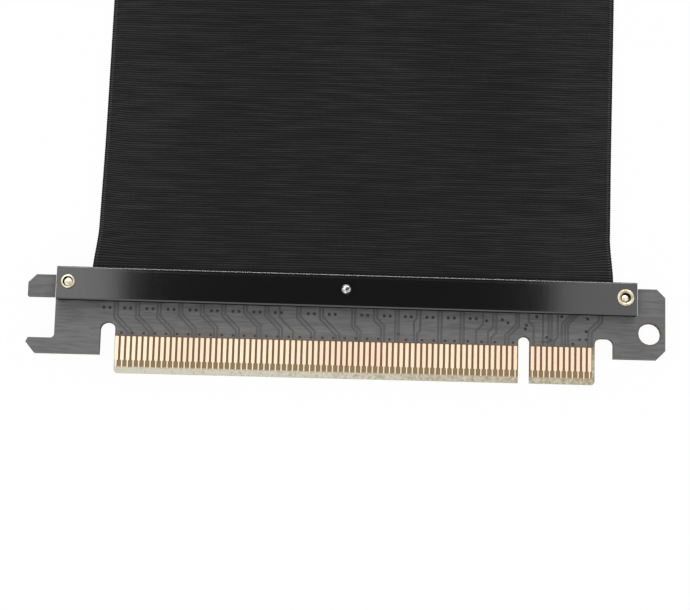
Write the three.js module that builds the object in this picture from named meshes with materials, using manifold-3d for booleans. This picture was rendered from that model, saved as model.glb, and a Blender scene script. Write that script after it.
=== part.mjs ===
// A sixteen-lane riser cable: a card-edge plug board, a flat woven sleeve over ten ribbons and a slot
// on a small board at the far end. Millimetres, +X along the connectors, +Y from the plug to the
// slot, +Z up. It lies flat on the undersides of its two back clamp bars.

import * as THREE from 'three';
import { mergeVertices } from 'three/addons/utils/BufferGeometryUtils.js';
import Module from 'manifold-3d';

const wasm = await Module();
wasm.setup();

// Card edge of the plug. X is counted from the middle of the key notch.
const KEY_X = 31.4;              // the key notch, from the middle of the clamp bars
const FINGER_PITCH = 1.0;
const LONG_FINGERS = 71;
const SHORT_FINGERS = 11;
const KEY_WIDTH = 2.0;
const KEY_TOP = 8.26;            // height of the notch above the card edge
const FINGER_TO_KEY = 0.5;       // middle of the first finger from the side of the key
const LONG_TAB_MARGIN = 0.4;     // middle of the last finger to the side of the tab
const SHORT_TAB_MARGIN = 0.9;
const TAB_CORNER = 0.5;
const BEVEL_HEIGHT = 0.75;
const BEVEL_DEPTH = 0.45;
const FINGER_WIDTH = 0.7;
const FINGER_TOP = 6.44;
const FINGER_FOOT = 2.25;
const PLATING = 0.05;
const FINGER_ROOT = 0.2;

// Outline of the plug board. Heights are counted from the card edge.
const BOARD_THICKNESS = 1.6;
const BOARD_TOP = 17.15;
const LEFT_NOTCH_WIDTH = 2.7;
const LEFT_NOTCH_TOP = 8.98;
const HOOK_ROOT_WIDTH = 8.05;
const HOOK_REACH = 5.0;
const HOOK_BOTTOM = 3.25;
const HOOK_TOP = 5.87;
const HOOK_CHAMFER = 1.5;
const HOOK_TIP = 0.8;
const HOOK_FILLET = 0.7;
const LATCH_GAP = 7.45;          // open height between the hook and the tab above it
const UPPER_TAB_CHAMFER = 1.45;
const RIGHT_NOTCH_WIDTH = 3.25;
const RIGHT_NOTCH_TOP = 8.25;
const RIGHT_NOTCH_CORNER = 1.2;
const EAR_WIDTH = 9.1;
const EAR_BOTTOM = 4.7;
const EAR_CHAMFER = 1.5;
const EAR_HOLE_DIAMETER = 3.95;
const EAR_HOLE_INSET = 2.76;     // from the right edge of the board
const EAR_HOLE_HEIGHT = 9.2;

// Clamp bars: folded sheet steel channels, front and back of each board.
const CLAMP_LENGTH = 101.85;
const CLAMP_WIDTH = 5.55;
const CLAMP_RISE = 3.0;
const CLAMP_WALL = 0.8;
const CLAMP_BEND = 0.35;         // outer radius of the folds
const CLAMP_INNER_BEND = 0.05;   // least radius inside the folds
const CLAMP_OVERHANG = 0.8;      // past the edge of the board, over the sleeve
const CLAMP_SKEW = -0.27;        // degrees: the plug's clamp sits very slightly askew
const BEND_STEPS = 3;

// Rivets through the bars.
const EYELET_INSET = 2.1;        // from the ends of the bars
const EYELET_FLANGE_DIAMETER = 2.5;
const EYELET_RIGHT_RIM = 3.0;     // the right one is rolled out wider, as photographed
const EYELET_BARREL_DIAMETER = 1.9;
const EYELET_BORE_DIAMETER = 1.4;
const EYELET_BORE_DEPTH = 1.7;   // the rolled end is hollow this far down
const EYELET_FLANGE = 0.35;
const PIN_HEAD_DIAMETER = 1.9;
const PIN_SHANK_DIAMETER = 1.1;
const PIN_HEAD_RISE = 0.55;
const RIVET_SINK = 0.6;          // depth of the flared end in its countersink
const RIVET_CLEARANCE = 0.1;
const RIVET_SIDES = 14;
const DOME_STEPS = 4;

// Sleeve.
const SLEEVE_LENGTH = 200;       // between the two front bars
const SLEEVE_OFFSET = 0.95;      // its middle, from the middle of the bars
const SLEEVE_CLAMP_WIDTH = 92.2;
const SLEEVE_WIDTH = 90.8;
const SLEEVE_BOW = 1.0;          // sideways drift of its middle, half way along
const SLEEVE_WALL = 0.5;
const SLEEVE_TAPER = 9;          // length over which it narrows from the clamp
const SLEEVE_FALL = 26;          // length over which it comes down to lie flat
const RIDGE_PITCH = 1.64;        // one ridge stands for four ribs of the weave
const RIDGE_DEPTH = 0.13;
const HEM_PLAIN = 2.4;           // smooth stretch at each clamp
const SLEEVE_INNER_STEPS = 24;

// Ribbons.
const RIBBON_THICKNESS = 0.8;
const RIBBON_SIDE_ROOM = 3.9;    // from the outer ribbons to the outside of the sleeve
const RIBBON_GAP = 1.0;
const POWER_RIBBON_WIDTH = 9.4;
const LEFT_LANES = 2;
const RIGHT_LANES = 2;
const RIBBON_LAYER_GAP = 0.3;
const RIBBON_END_INSET = 0.35;   // from the wall of the bar
const RIBBON_STEPS = 6;
const TAPE_THICKNESS = 0.25;
const TAPE_INSET = 0.3;

// Socket end.
const SOCKET_SIDE_MARGIN = 4.25; // board past the ends of the bars
const SOCKET_BOARD_DEPTH = 32;
const SOCKET_CORNER = 2.0;
const SOCKET_HOLE_DIAMETER = 3.2;
const SOCKET_HOLE_INSET = 4.5;   // from the sides and the far edge of the board
const SOCKET_HOLE_SPACING_Y = 17.5;
const SLOT_SETBACK = 14;         // middle of the slot from the far edge of the board
const SLOT_END_WALL = 2.3;       // housing past each end of the card
const SLOT_WIDTH = 7.5;
const SLOT_HEIGHT = 11.25;
const SLOT_MOUTH_WIDTH = 1.9;
const SLOT_MOUTH_DEPTH = 8.2;
const SLOT_LEAD_IN = 0.5;
const SLOT_KEY = 1.6;
const SLOT_END_CLEARANCE = 0.2;  // past each end of the card
const SLOT_WAIST = 0.55;         // how far the flanks are cut back between the ribs
const SLOT_WAIST_LOW = 2.2;
const SLOT_WAIST_HIGH = 8.4;
const SLOT_RIB_WIDTH = 1.2;
const SLOT_BAYS = 8;
const CONTACT_WIDTH = 0.5;
const CONTACT_RISE = 0.3;
const CONTACT_LOW = 1.6;
const CONTACT_HIGH = 6.8;
const CONTACT_PEAK = 0.7;        // place of its tip, as a share of its height
const CONTACT_ROOT = 0.2;        // how far it is set into the wall

const SEAT_GAP = 0.3;            // running gap between a soft piece and its neighbour
const CUT_SPARE = 1;             // how far a cutter reaches past what it cuts

// Places worked out from the sizes.
const boardLow = CLAMP_RISE;
const boardHigh = boardLow + BOARD_THICKNESS;
const boardMiddle = (boardLow + boardHigh) / 2;
const clampY = BOARD_TOP + CLAMP_OVERHANG - CLAMP_WIDTH / 2;
const plugSkew = THREE.MathUtils.degToRad(CLAMP_SKEW);
const socketClampY = clampY + CLAMP_WIDTH + SLEEVE_LENGTH;
const socketNearY = socketClampY - (BOARD_TOP - clampY);
const socketFarY = socketNearY + SOCKET_BOARD_DEPTH;
const slotY = socketFarY - SLOT_SETBACK;
const firstFinger = KEY_WIDTH / 2 + FINGER_TO_KEY;
const longTabX = KEY_X - firstFinger - (LONG_FINGERS - 1) * FINGER_PITCH - LONG_TAB_MARGIN;
const shortTabX = KEY_X + firstFinger + (SHORT_FINGERS - 1) * FINGER_PITCH + SHORT_TAB_MARGIN;
const hookRootX = longTabX - LEFT_NOTCH_WIDTH;
const bodyLeftX = hookRootX - HOOK_ROOT_WIDTH;
const hookTipX = bodyLeftX - HOOK_REACH;
const earLeftX = shortTabX + RIGHT_NOTCH_WIDTH;
const boardRightX = earLeftX + EAR_WIDTH;
const eyeletX = CLAMP_LENGTH / 2 - EYELET_INSET;
const socketHalfX = CLAMP_LENGTH / 2 + SOCKET_SIDE_MARGIN;
const ribbonLeftX = SLEEVE_OFFSET - SLEEVE_WIDTH / 2 + RIBBON_SIDE_ROOM;
const ribbonRightX = SLEEVE_OFFSET + SLEEVE_WIDTH / 2 - RIBBON_SIDE_ROOM;

const finishes = {
  board: new THREE.MeshStandardMaterial({ color: 0x3c3c3f, roughness: 0.5, metalness: 0 }),
  bar: new THREE.MeshStandardMaterial({ color: 0x17171a, roughness: 0.3, metalness: 0.2 }),
  eyelet: new THREE.MeshStandardMaterial({ color: 0xd8c49a, roughness: 0.3, metalness: 1 }),
  rivet: new THREE.MeshStandardMaterial({ color: 0xd2d4d6, roughness: 0.2, metalness: 1 }),
  sleeve: new THREE.MeshStandardMaterial({ color: 0x1d1d1f, roughness: 0.9, metalness: 0 }),
  ribbon: new THREE.MeshStandardMaterial({ color: 0x9fa3a8, roughness: 0.6, metalness: 0 }),
  tape: new THREE.MeshStandardMaterial({ color: 0xb08a2e, roughness: 0.5, metalness: 0 }),
  housing: new THREE.MeshStandardMaterial({ color: 0x1a1a1c, roughness: 0.6, metalness: 0 }),
};

const object = new THREE.Group();

function addPiece(name, geometry, finish, parent = object) {
  const mesh = new THREE.Mesh(geometry, finish);
  mesh.name = name;
  parent.add(mesh);
}

// A closed mesh with only its positions, corners merged and the empty triangles at poles dropped.
function plain(geometry) {
  const copy = geometry.clone();
  copy.deleteAttribute('normal');
  copy.deleteAttribute('uv');
  const merged = mergeVertices(copy, 1e-5);
  const index = merged.index.array;
  const kept = [];
  for (let t = 0; t < index.length; t += 3) {
    const [a, b, c] = index.slice(t, t + 3);
    if (a !== b && b !== c && c !== a) kept.push(a, b, c);
  }
  merged.setIndex(kept);
  return merged;
}

function solid(geometry) {
  const merged = plain(geometry);
  return new wasm.Manifold(new wasm.Mesh({
    numProp: 3,
    vertProperties: new Float32Array(merged.attributes.position.array),
    triVerts: new Uint32Array(merged.index.array),
  }));
}

function geometryOf(manifold) {
  const mesh = manifold.getMesh();
  const geometry = new THREE.BufferGeometry();
  const points = new Float32Array(mesh.vertProperties);
  geometry.setAttribute('position', new THREE.BufferAttribute(points, 3));
  geometry.setIndex(new THREE.BufferAttribute(new Uint32Array(mesh.triVerts), 1));
  geometry.computeVertexNormals();
  return geometry;
}

// An upright plate of a flat outline, from low to high.
function plate(shape, low, high, curveSegments = 8) {
  const settings = { depth: high - low, bevelEnabled: false, curveSegments };
  return new THREE.ExtrudeGeometry(shape, settings).translate(0, 0, low);
}

// A block between two corners.
function block(x0, y0, z0, x1, y1, z1) {
  const geometry = new THREE.BoxGeometry(x1 - x0, y1 - y0, z1 - z0);
  return geometry.translate((x0 + x1) / 2, (y0 + y1) / 2, (z0 + z1) / 2);
}

function cylinder(diameter, x, y, low, high, sides = RIVET_SIDES) {
  const geometry = new THREE.CylinderGeometry(diameter / 2, diameter / 2, high - low, sides);
  return geometry.rotateX(Math.PI / 2).translate(x, y, (low + high) / 2);
}

// A body of revolution about an upright axis, from pairs of radius and height.
function turned(profile, x, y, sides = RIVET_SIDES) {
  const points = profile.map(([r, z]) => new THREE.Vector2(r, z));
  const geometry = plain(new THREE.LatheGeometry(points, sides));
  return geometry.rotateX(Math.PI / 2).translate(x, y, 0);
}

// A prism along X from a profile of pairs (y, z).
function alongX(profile, x0, x1) {
  const shape = new THREE.Shape(profile.map(([y, z]) => new THREE.Vector2(y, z)));
  const geometry = new THREE.ExtrudeGeometry(shape, { depth: x1 - x0, bevelEnabled: false });
  // The profile's y and z become the model's Y and Z, and the depth runs along X.
  const turn = new THREE.Matrix4().set(0, 0, 1, x0, 1, 0, 0, 0, 0, 1, 0, 0, 0, 0, 0, 1);
  return geometry.applyMatrix4(turn);
}

// Plug board

function plugOutline() {
  const shape = new THREE.Shape();
  const keyLeft = KEY_X - KEY_WIDTH / 2;
  const keyRight = KEY_X + KEY_WIDTH / 2;
  const hookHigh = HOOK_TOP + LATCH_GAP;

  // Card edge, from the long tab's left corner, with the round-topped key notch.
  shape.moveTo(longTabX, TAB_CORNER);
  shape.absarc(longTabX + TAB_CORNER, TAB_CORNER, TAB_CORNER, Math.PI, 1.5 * Math.PI);
  shape.lineTo(keyLeft, 0);
  shape.absarc(KEY_X, KEY_TOP - KEY_WIDTH / 2, KEY_WIDTH / 2, Math.PI, 0, true);
  shape.lineTo(keyRight, 0);
  shape.absarc(shortTabX - TAB_CORNER, TAB_CORNER, TAB_CORNER, 1.5 * Math.PI, 2 * Math.PI);

  // Right notch and the screw ear.
  const notchY = RIGHT_NOTCH_TOP - RIGHT_NOTCH_CORNER;
  shape.absarc(shortTabX + RIGHT_NOTCH_CORNER, notchY, RIGHT_NOTCH_CORNER, Math.PI, Math.PI / 2, true);
  shape.absarc(earLeftX - RIGHT_NOTCH_CORNER, notchY, RIGHT_NOTCH_CORNER, Math.PI / 2, 0, true);
  shape.lineTo(earLeftX, EAR_BOTTOM);
  shape.lineTo(boardRightX - EAR_CHAMFER, EAR_BOTTOM);
  shape.lineTo(boardRightX, EAR_BOTTOM + EAR_CHAMFER);
  shape.lineTo(boardRightX, BOARD_TOP - EAR_CHAMFER);
  shape.lineTo(boardRightX - EAR_CHAMFER, BOARD_TOP);

  // Upper left tab, latch gap and hook.
  shape.lineTo(hookTipX + UPPER_TAB_CHAMFER, BOARD_TOP);
  shape.lineTo(hookTipX, BOARD_TOP - UPPER_TAB_CHAMFER);
  shape.lineTo(hookTipX, hookHigh);
  shape.lineTo(bodyLeftX, hookHigh);
  shape.absarc(bodyLeftX - HOOK_FILLET, HOOK_TOP + HOOK_FILLET, HOOK_FILLET, 0, -Math.PI / 2, true);
  shape.lineTo(hookTipX + HOOK_TIP / 2, HOOK_TOP);
  shape.lineTo(hookTipX, HOOK_TOP - HOOK_TIP);
  shape.lineTo(hookTipX + HOOK_CHAMFER, HOOK_BOTTOM);
  shape.lineTo(hookRootX, HOOK_BOTTOM);

  // Left notch, round at the top.
  const notchMiddle = (hookRootX + longTabX) / 2;
  const notchRadius = LEFT_NOTCH_WIDTH / 2;
  shape.absarc(notchMiddle, LEFT_NOTCH_TOP - notchRadius, notchRadius, Math.PI, 0, true);
  shape.lineTo(longTabX, TAB_CORNER);

  const hole = new THREE.Path();
  hole.absarc(boardRightX - EAR_HOLE_INSET, EAR_HOLE_HEIGHT, EAR_HOLE_DIAMETER / 2, 0, 2 * Math.PI);
  shape.holes.push(hole);
  return shape;
}

// X of the middle of every finger, long section first.
function fingerPlaces() {
  const places = (count, side) => Array.from({ length: count }, (_, i) => {
    return KEY_X + side * (firstFinger + i * FINGER_PITCH);
  });
  return [...places(LONG_FINGERS, -1), ...places(SHORT_FINGERS, 1)];
}

// One finger on each face of the board, rooted in the laminate and standing out by the plating.
function fingerPair(x) {
  const left = x - FINGER_WIDTH / 2;
  const right = x + FINGER_WIDTH / 2;
  return [
    solid(block(left, FINGER_FOOT, boardHigh - FINGER_ROOT, right, FINGER_TOP, boardHigh + PLATING)),
    solid(block(left, FINGER_FOOT, boardLow - PLATING, right, FINGER_TOP, boardLow + FINGER_ROOT)),
  ];
}

// The wedge that bevels one long edge of the tab. side is +1 on the front face, -1 on the back.
function bevelCutter(side) {
  const face = side > 0 ? boardHigh : boardLow;
  const inner = face - side * BEVEL_DEPTH;
  const spareDepth = (CUT_SPARE * BEVEL_DEPTH) / BEVEL_HEIGHT;
  const wedge = [
    [-CUT_SPARE, inner - side * spareDepth],
    [BEVEL_HEIGHT + CUT_SPARE, face + side * spareDepth],
    [-CUT_SPARE, face + side * spareDepth],
  ];
  const profile = side > 0 ? wedge : wedge.reverse();
  return solid(alongX(profile, longTabX - CUT_SPARE, shortTabX + CUT_SPARE));
}

// Clear holes for the rivets of one clamp, through a board.
function rivetHoles(y, skew) {
  const eyelet = EYELET_BARREL_DIAMETER + 2 * RIVET_CLEARANCE;
  const pin = PIN_SHANK_DIAMETER + 2 * RIVET_CLEARANCE;
  const places = [[eyelet, -eyeletX], [pin, 0], [eyelet, eyeletX]];
  return wasm.Manifold.union(places.map(([diameter, x]) => {
    const hole = cylinder(diameter, x, 0, boardLow - CUT_SPARE, boardHigh + CUT_SPARE);
    return solid(hole.rotateZ(skew).translate(0, y, 0));
  }));
}

function makePlugBoard() {
  const laminate = solid(plate(plugOutline(), boardLow, boardHigh))
    .subtract(bevelCutter(1))
    .subtract(bevelCutter(-1))
    .subtract(rivetHoles(clampY, plugSkew));
  const fingers = fingerPlaces().flatMap(fingerPair);
  return geometryOf(laminate.add(wasm.Manifold.union(fingers)));
}

// Clamp bars

// Section of a channel in (y, z) about its own middle: a flat web with two round folds and two
// flanges. z is 0 at the board and CLAMP_RISE at the outer face.
function channelSection() {
  const half = CLAMP_WIDTH / 2;
  const inner = Math.max(CLAMP_BEND - CLAMP_WALL, CLAMP_INNER_BEND);
  const arc = (cy, cz, radius, from, to) => Array.from({ length: BEND_STEPS + 1 }, (_, i) => {
    const angle = from + ((to - from) * i) / BEND_STEPS;
    return [cy + radius * Math.cos(angle), cz + radius * Math.sin(angle)];
  });
  const outerZ = CLAMP_RISE - CLAMP_BEND;
  const innerTop = CLAMP_RISE - CLAMP_WALL;
  const innerSide = half - CLAMP_WALL;
  return [
    [half, 0],
    ...arc(half - CLAMP_BEND, outerZ, CLAMP_BEND, 0, Math.PI / 2),
    ...arc(CLAMP_BEND - half, outerZ, CLAMP_BEND, Math.PI / 2, Math.PI),
    [-half, 0],
    [-innerSide, 0],
    [-innerSide, innerTop - inner],
    [inner - innerSide, innerTop],
    [innerSide - inner, innerTop],
    [innerSide, innerTop - inner],
    [innerSide, 0],
  ];
}

// One bar, about its own middle line. face is +1 in front of the board and -1 behind it; cableSide
// is the sign of Y towards the sleeve, where the flange is cut short to let the sleeve in.
function makeClampBar(face, cableSide) {
  const foot = face > 0 ? boardHigh : boardLow;
  const section = channelSection().map(([sy, sz]) => [sy, foot + face * sz]);
  const profile = face > 0 ? section : section.reverse();
  let bar = solid(alongX(profile, -CLAMP_LENGTH / 2, CLAMP_LENGTH / 2));

  const mouth = SLEEVE_CLAMP_WIDTH / 2 + SEAT_GAP;
  const headroom = RIBBON_THICKNESS + SLEEVE_WALL + 2 * SEAT_GAP;
  const flangeIn = cableSide * (CLAMP_WIDTH / 2 - CLAMP_WALL - CLAMP_INNER_BEND);
  const flangeOut = cableSide * (CLAMP_WIDTH / 2 + CUT_SPARE);
  const mouthLow = foot - face * CUT_SPARE;
  const mouthHigh = foot + face * headroom;
  bar = bar.subtract(solid(block(
    SLEEVE_OFFSET - mouth, Math.min(flangeIn, flangeOut), Math.min(mouthLow, mouthHigh),
    SLEEVE_OFFSET + mouth, Math.max(flangeIn, flangeOut), Math.max(mouthLow, mouthHigh),
  )));

  for (const x of [-eyeletX, 0, eyeletX]) {
    bar = bar.subtract(rivetSeat(x, face));
  }
  return geometryOf(bar);
}

// Hole in a bar for a rivet: straight in the front bar, countersunk in the back bar.
function rivetSeat(x, face) {
  const head = x === 0 ? PIN_HEAD_DIAMETER : EYELET_FLANGE_DIAMETER;
  const shank = x === 0 ? PIN_SHANK_DIAMETER : EYELET_BARREL_DIAMETER;
  const clear = RIVET_CLEARANCE;
  if (face > 0) {
    return solid(cylinder(shank + 2 * clear, x, 0, boardHigh, boardHigh + CLAMP_RISE + CUT_SPARE));
  }
  const spareFlare = (CUT_SPARE * (head - shank)) / 2 / RIVET_SINK;
  const outer = boardLow - CLAMP_RISE;
  return solid(turned([
    [0, outer - CUT_SPARE],
    [head / 2 + clear + spareFlare, outer - CUT_SPARE],
    [shank / 2 + clear, outer + RIVET_SINK],
    [shank / 2 + clear, boardLow + CUT_SPARE],
    [0, boardLow + CUT_SPARE],
  ], x, 0));
}

// A rivet with a hollow front end, rolled out over the bar, and a head flush in the back bar.
function makeEyelet(x) {
  const bore = EYELET_BORE_DIAMETER / 2;
  const barrel = EYELET_BARREL_DIAMETER / 2;
  const foot = EYELET_FLANGE_DIAMETER / 2;
  const rim = x > 0 ? EYELET_RIGHT_RIM / 2 : foot;
  const outer = boardHigh + CLAMP_RISE;
  const lowest = boardLow - CLAMP_RISE;
  const round = EYELET_FLANGE / 2;
  const top = outer + EYELET_FLANGE;
  return turned([
    [0, lowest + RIVET_CLEARANCE],
    [foot - RIVET_CLEARANCE, lowest + RIVET_CLEARANCE],
    [barrel, lowest + RIVET_SINK],
    [barrel, outer],
    [rim, outer],
    [rim, outer + round],
    [rim - round, top],
    [bore + round, top],
    [bore, top - round],
    [bore, top - EYELET_BORE_DEPTH],
    [0, top - EYELET_BORE_DEPTH],
  ], x, 0);
}

// A solid rivet with a domed head.
function makeCentreRivet() {
  const head = PIN_HEAD_DIAMETER / 2;
  const shank = PIN_SHANK_DIAMETER / 2;
  const outer = boardHigh + CLAMP_RISE;
  const foot = boardLow - CLAMP_RISE;
  const dome = Array.from({ length: DOME_STEPS + 1 }, (_, i) => {
    const angle = (i / DOME_STEPS) * (Math.PI / 2);
    return [i === DOME_STEPS ? 0 : head * Math.cos(angle), outer + PIN_HEAD_RISE * Math.sin(angle)];
  });
  return turned([
    [0, foot + RIVET_CLEARANCE],
    [head - RIVET_CLEARANCE, foot + RIVET_CLEARANCE],
    [shank, foot + RIVET_SINK],
    [shank, outer],
    ...dome,
  ], 0, 0);
}

// Sleeve

// 0 in the clamp and 1 past length, with level ends.
function ease(distance, length) {
  const t = Math.min(Math.max(distance / length, 0), 1);
  return t * t * (3 - 2 * t);
}

const sleeveNearY = BOARD_TOP + SEAT_GAP;
const sleeveFarY = socketNearY - SEAT_GAP;
const sleeveHalfThickness = BOARD_THICKNESS / 2 + RIBBON_THICKNESS + SEAT_GAP + SLEEVE_WALL;

function distanceFromClamp(y) {
  return Math.min(y - sleeveNearY, sleeveFarY - y);
}

function sleeveHalfWidth(y) {
  const narrow = (SLEEVE_CLAMP_WIDTH - SLEEVE_WIDTH) / 2;
  return SLEEVE_CLAMP_WIDTH / 2 - narrow * ease(distanceFromClamp(y), SLEEVE_TAPER);
}

// Sideways place of the middle of the sleeve.
function sleeveCentre(y) {
  const along = (y - sleeveNearY) / (sleeveFarY - sleeveNearY);
  return SLEEVE_OFFSET + SLEEVE_BOW * Math.sin(Math.PI * along);
}

// Height of the middle of the sleeve: level with the boards in the clamps, on the floor between.
function sleeveMiddle(y) {
  const fall = boardMiddle - sleeveHalfThickness;
  return boardMiddle - fall * ease(distanceFromClamp(y) - HEM_PLAIN, SLEEVE_FALL);
}

// Eight points round the flattened section, as shares of its half width and half thickness.
const SLEEVE_ROUND = [[1, -0.35], [1, 0.35], [0.965, 1], [-0.965, 1],
  [-1, 0.35], [-1, -0.35], [-0.965, -1], [0.965, -1]];

function sleeveRing(y, inset) {
  const half = sleeveHalfWidth(y) - inset;
  const rise = sleeveHalfThickness - inset;
  return SLEEVE_ROUND.map(([a, b]) => [sleeveCentre(y) + a * half, y, sleeveMiddle(y) + b * rise]);
}

// Rings joined into one skin: out along the outer wall with its ridges, back along the inner wall.
function makeSleeve() {
  const ridged = sleeveFarY - sleeveNearY - 2 * HEM_PLAIN;
  const ridges = Math.round(ridged / RIDGE_PITCH);
  const step = ridged / ridges / 2;
  const outer = [sleeveRing(sleeveNearY, 0)];
  for (let i = 0; i <= 2 * ridges; i += 1) {
    outer.push(sleeveRing(sleeveNearY + HEM_PLAIN + i * step, i % 2 === 0 ? RIDGE_DEPTH : 0));
  }
  outer.push(sleeveRing(sleeveFarY, 0));

  const inner = Array.from({ length: SLEEVE_INNER_STEPS + 1 }, (_, i) => {
    const t = 1 - i / SLEEVE_INNER_STEPS;
    return sleeveRing(sleeveNearY + (sleeveFarY - sleeveNearY) * t, SLEEVE_WALL);
  });
  return skin([...outer, ...inner]);
}

// A closed loop of rings, each joined to the next and the last to the first.
function skin(rings) {
  const count = rings[0].length;
  const index = [];
  rings.forEach((_, r) => {
    const here = r * count;
    const next = ((r + 1) % rings.length) * count;
    for (let k = 0; k < count; k += 1) {
      const k2 = (k + 1) % count;
      index.push(here + k, next + k2, here + k2, here + k, next + k, next + k2);
    }
  });
  const geometry = new THREE.BufferGeometry();
  geometry.setAttribute('position', new THREE.Float32BufferAttribute(rings.flat(2), 3));
  geometry.setIndex(index);
  geometry.computeVertexNormals();
  return geometry;
}

// Ribbons

// Names and X ranges of the five ribbons of one layer, clear of the centre rivet.
function ribbonPlaces() {
  const clear = PIN_SHANK_DIAMETER / 2 + SEAT_GAP;
  const places = [];
  const share = (from, to, count) => {
    const width = (to - from - (count - 1) * RIBBON_GAP) / count;
    for (let i = 0; i < count; i += 1) {
      const x = from + i * (width + RIBBON_GAP);
      places.push([`lane_ribbon_${places.length + 1}`, x, x + width]);
    }
  };
  share(ribbonLeftX, -clear, LEFT_LANES);
  share(clear, ribbonRightX - POWER_RIBBON_WIDTH - RIBBON_GAP, RIGHT_LANES);
  places.push(['power_ribbon', ribbonRightX - POWER_RIBBON_WIDTH, ribbonRightX]);
  return places;
}

// One flat ribbon. It lies on the face of each board and comes down into the sleeve between them.
function makeRibbon(face, x0, x1) {
  const start = clampY - CLAMP_WIDTH / 2 + CLAMP_WALL + RIBBON_END_INSET;
  const end = socketClampY + CLAMP_WIDTH / 2 - CLAMP_WALL - RIBBON_END_INSET;
  const onBoard = BOARD_THICKNESS / 2;
  const inSleeve = RIBBON_LAYER_GAP / 2;
  const nearFace = (y) => {
    const off = distanceFromClamp(y);
    const away = onBoard + (inSleeve - onBoard) * ease(off - HEM_PLAIN, SLEEVE_FALL);
    return sleeveMiddle(y) + face * away;
  };
  const near = Array.from({ length: RIBBON_STEPS + 1 }, (_, i) => {
    return sleeveNearY + (HEM_PLAIN + SLEEVE_FALL) * (i / RIBBON_STEPS);
  });
  const far = near.map((y) => sleeveNearY + sleeveFarY - y).reverse();
  const along = [start, ...near, ...far, end];
  const one = along.map((y) => [y, nearFace(y)]);
  const other = along.map((y) => [y, nearFace(y) + face * RIBBON_THICKNESS]).reverse();
  const profile = [...one, ...other];
  return alongX(face > 0 ? profile : profile.reverse(), x0, x1);
}

// Insulating tape over the ribbon ends, inside a bar.
function makeTape(face) {
  const half = CLAMP_WIDTH / 2 - CLAMP_WALL - TAPE_INSET;
  const foot = (face > 0 ? boardHigh : boardLow) + face * RIBBON_THICKNESS;
  const top = foot + face * TAPE_THICKNESS;
  const low = Math.min(foot, top);
  const high = Math.max(foot, top);
  const strip = solid(block(ribbonLeftX, -half, low, ribbonRightX, half, high));
  const passage = cylinder(PIN_SHANK_DIAMETER + 2 * SEAT_GAP, 0, 0, low - CUT_SPARE, high + CUT_SPARE);
  return geometryOf(strip.subtract(solid(passage)));
}

// Socket end

function makeSocketBoard() {
  const half = socketHalfX;
  const r = SOCKET_CORNER;
  const shape = new THREE.Shape();
  shape.absarc(-half + r, socketNearY + r, r, Math.PI, 1.5 * Math.PI);
  shape.absarc(half - r, socketNearY + r, r, 1.5 * Math.PI, 2 * Math.PI);
  shape.absarc(half - r, socketFarY - r, r, 0, Math.PI / 2);
  shape.absarc(-half + r, socketFarY - r, r, Math.PI / 2, Math.PI);
  for (const x of [SOCKET_HOLE_INSET - half, half - SOCKET_HOLE_INSET]) {
    for (const back of [SOCKET_HOLE_INSET, SOCKET_HOLE_INSET + SOCKET_HOLE_SPACING_Y]) {
      const hole = new THREE.Path();
      hole.absarc(x, socketFarY - back, SOCKET_HOLE_DIAMETER / 2, 0, 2 * Math.PI);
      shape.holes.push(hole);
    }
  }
  return geometryOf(solid(plate(shape, boardLow, boardHigh, 6)).subtract(rivetHoles(socketClampY, 0)));
}

// One half of the mouth, with its flared lead-in.
function mouthCutter(x0, x1) {
  const top = boardHigh + SLOT_HEIGHT;
  const half = SLOT_MOUTH_WIDTH / 2;
  const wide = half + SLOT_LEAD_IN;
  const profile = [
    [slotY - half, top - SLOT_MOUTH_DEPTH],
    [slotY + half, top - SLOT_MOUTH_DEPTH],
    [slotY + half, top - SLOT_LEAD_IN],
    [slotY + wide + CUT_SPARE, top + CUT_SPARE],
    [slotY - wide - CUT_SPARE, top + CUT_SPARE],
    [slotY - half, top - SLOT_LEAD_IN],
  ];
  return solid(alongX(profile, x0, x1));
}

// One contact: a low ramped spring standing out of the wall of the mouth.
function contact(x, side) {
  const floor = boardHigh + SLOT_HEIGHT - SLOT_MOUTH_DEPTH;
  const wall = slotY + side * (SLOT_MOUTH_WIDTH / 2);
  const tip = wall - side * CONTACT_RISE;
  const root = wall + side * CONTACT_ROOT;
  const peak = floor + CONTACT_LOW + CONTACT_PEAK * (CONTACT_HIGH - CONTACT_LOW);
  const profile = [
    [root, floor + CONTACT_LOW],
    [root, floor + CONTACT_HIGH],
    [tip, peak],
  ];
  if (side > 0) profile.reverse();
  return solid(alongX(profile, x - CONTACT_WIDTH / 2, x + CONTACT_WIDTH / 2));
}

function makeSlotHousing() {
  const left = longTabX - SLOT_END_WALL;
  const right = shortTabX + SLOT_END_WALL;
  const half = SLOT_WIDTH / 2;
  const body = solid(block(left, slotY - half, boardHigh, right, slotY + half, boardHigh + SLOT_HEIGHT));

  // Flanks cut back between ribs.
  const bay = (right - left) / SLOT_BAYS;
  const cuts = [];
  for (let i = 0; i < SLOT_BAYS; i += 1) {
    for (const side of [-1, 1]) {
      const inner = slotY + side * (half - SLOT_WAIST);
      const outer = slotY + side * (half + CUT_SPARE);
      cuts.push(solid(block(
        left + i * bay + SLOT_RIB_WIDTH / 2, Math.min(inner, outer), boardHigh + SLOT_WAIST_LOW,
        left + (i + 1) * bay - SLOT_RIB_WIDTH / 2, Math.max(inner, outer), boardHigh + SLOT_WAIST_HIGH,
      )));
    }
  }
  cuts.push(mouthCutter(longTabX - SLOT_END_CLEARANCE, KEY_X - SLOT_KEY / 2));
  cuts.push(mouthCutter(KEY_X + SLOT_KEY / 2, shortTabX + SLOT_END_CLEARANCE));

  const contacts = fingerPlaces().flatMap((x) => [contact(x, 1), contact(x, -1)]);
  return geometryOf(body.subtract(wasm.Manifold.union(cuts)).add(wasm.Manifold.union(contacts)));
}

// The whole object

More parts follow.
